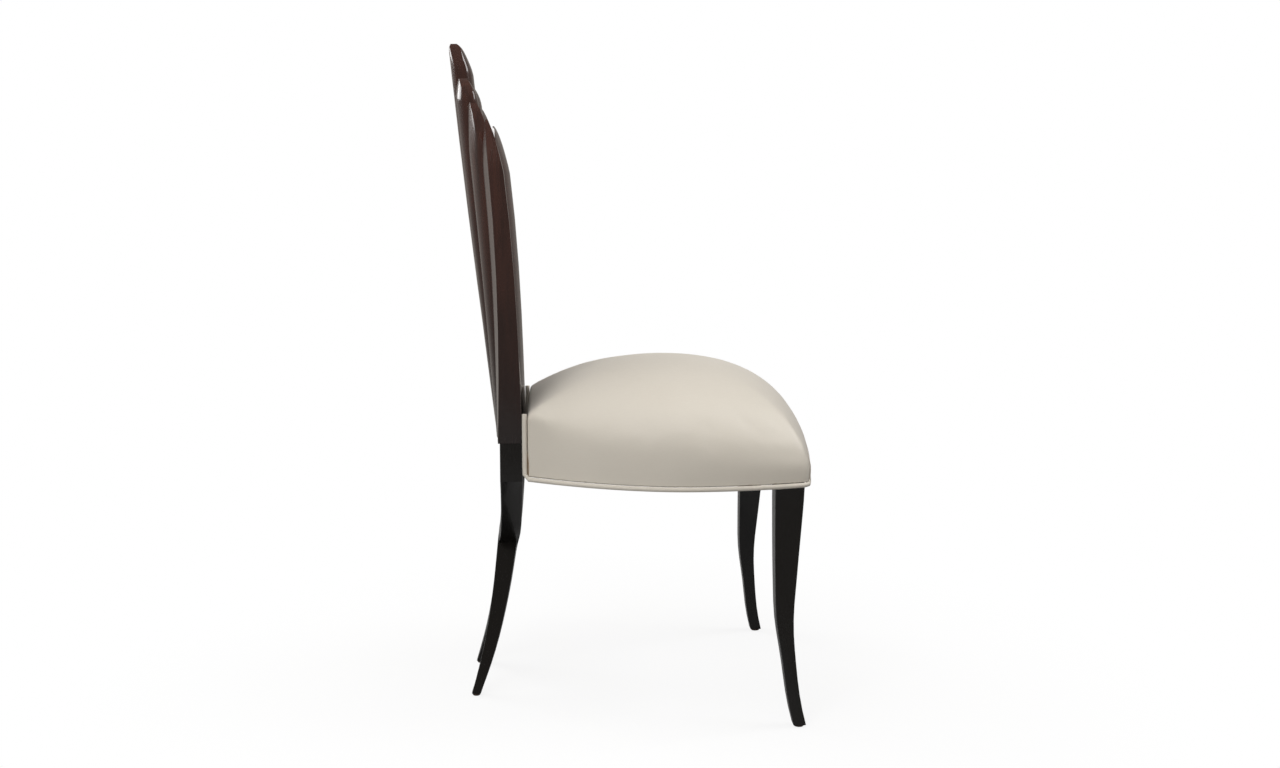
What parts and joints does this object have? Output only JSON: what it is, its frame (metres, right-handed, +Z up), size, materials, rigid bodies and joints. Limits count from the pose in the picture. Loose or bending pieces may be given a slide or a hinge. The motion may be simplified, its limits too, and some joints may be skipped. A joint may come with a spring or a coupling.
{
  "type": "dining chair",
  "caption": "Armless dining chair with a tall fanned back of carved fronds, a domed upholstered seat with a welt, and tapered sabre legs that cross behind.",
  "frame": {"origin": "on the floor, under the middle of the chair's plan", "axes": "+X across the chair, to the sitter's left; -Y towards the front edge of the seat; +Z up"},
  "size_m": [0.5782, 0.5946, 1.0792],
  "materials": {
    "leg_lacquer": "glossy near-black lacquer",
    "back_lacquer": "glossy dark mahogany lacquer",
    "frame_beech": "bare planed hardwood",
    "screw_steel": "zinc plated",
    "webbing": "woven jute webbing",
    "foam": "open-cell upholstery foam",
    "seat_fabric": "smooth ivory satin weave",
    "dust_cover": "black cambric",
    "glide": "matt brown"
  },
  "bodies": {
    "root": {"rear_leg_right": "leg_lacquer", "rear_leg_left": "leg_lacquer", "front_leg_right": "leg_lacquer", "front_leg_left": "leg_lacquer", "back_base_rail": "leg_lacquer", "back_frond_center": "back_lacquer", "back_frond_left_1": "back_lacquer", "back_frond_left_2": "back_lacquer", "back_frond_left_3": "back_lacquer", "back_frond_right_1": "back_lacquer", "back_frond_right_2": "back_lacquer", "back_frond_right_3": "back_lacquer", "side_rail_right": "frame_beech", "side_rail_left": "frame_beech", "front_rail": "frame_beech", "seat_rear_rail": "frame_beech", "corner_block_front_right": "frame_beech", "corner_block_front_left": "frame_beech", "corner_block_rear_right": "frame_beech", "corner_block_rear_left": "frame_beech", "frond_dowel_center": "frame_beech", "frond_dowel_left_1": "frame_beech", "frond_dowel_left_2": "frame_beech", "frond_dowel_left_3": "frame_beech", "frond_dowel_right_1": "frame_beech", "frond_dowel_right_2": "frame_beech", "frond_dowel_right_3": "frame_beech", "block_screw_front_side_right": "screw_steel", "block_screw_front_side_left": "screw_steel", "block_screw_front_end_right": "screw_steel", "block_screw_front_end_left": "screw_steel", "block_screw_rear_side_right": "screw_steel", "block_screw_rear_side_left": "screw_steel", "block_screw_rear_end_right": "screw_steel", "block_screw_rear_end_left": "screw_steel", "webbing_lengthwise_1": "webbing", "webbing_lengthwise_2": "webbing", "webbing_lengthwise_3": "webbing", "webbing_lengthwise_4": "webbing", "webbing_lengthwise_5": "webbing", "webbing_crosswise_1": "webbing", "webbing_crosswise_2": "webbing", "webbing_crosswise_3": "webbing", "webbing_crosswise_4": "webbing", "seat_foam": "foam", "seat_cover": "seat_fabric", "seat_welt": "seat_fabric", "dust_cover": "dust_cover", "glide_front_right": "glide", "glide_front_left": "glide", "glide_rear_right": "glide", "glide_rear_left": "glide"}
  },
  "joints": []
}
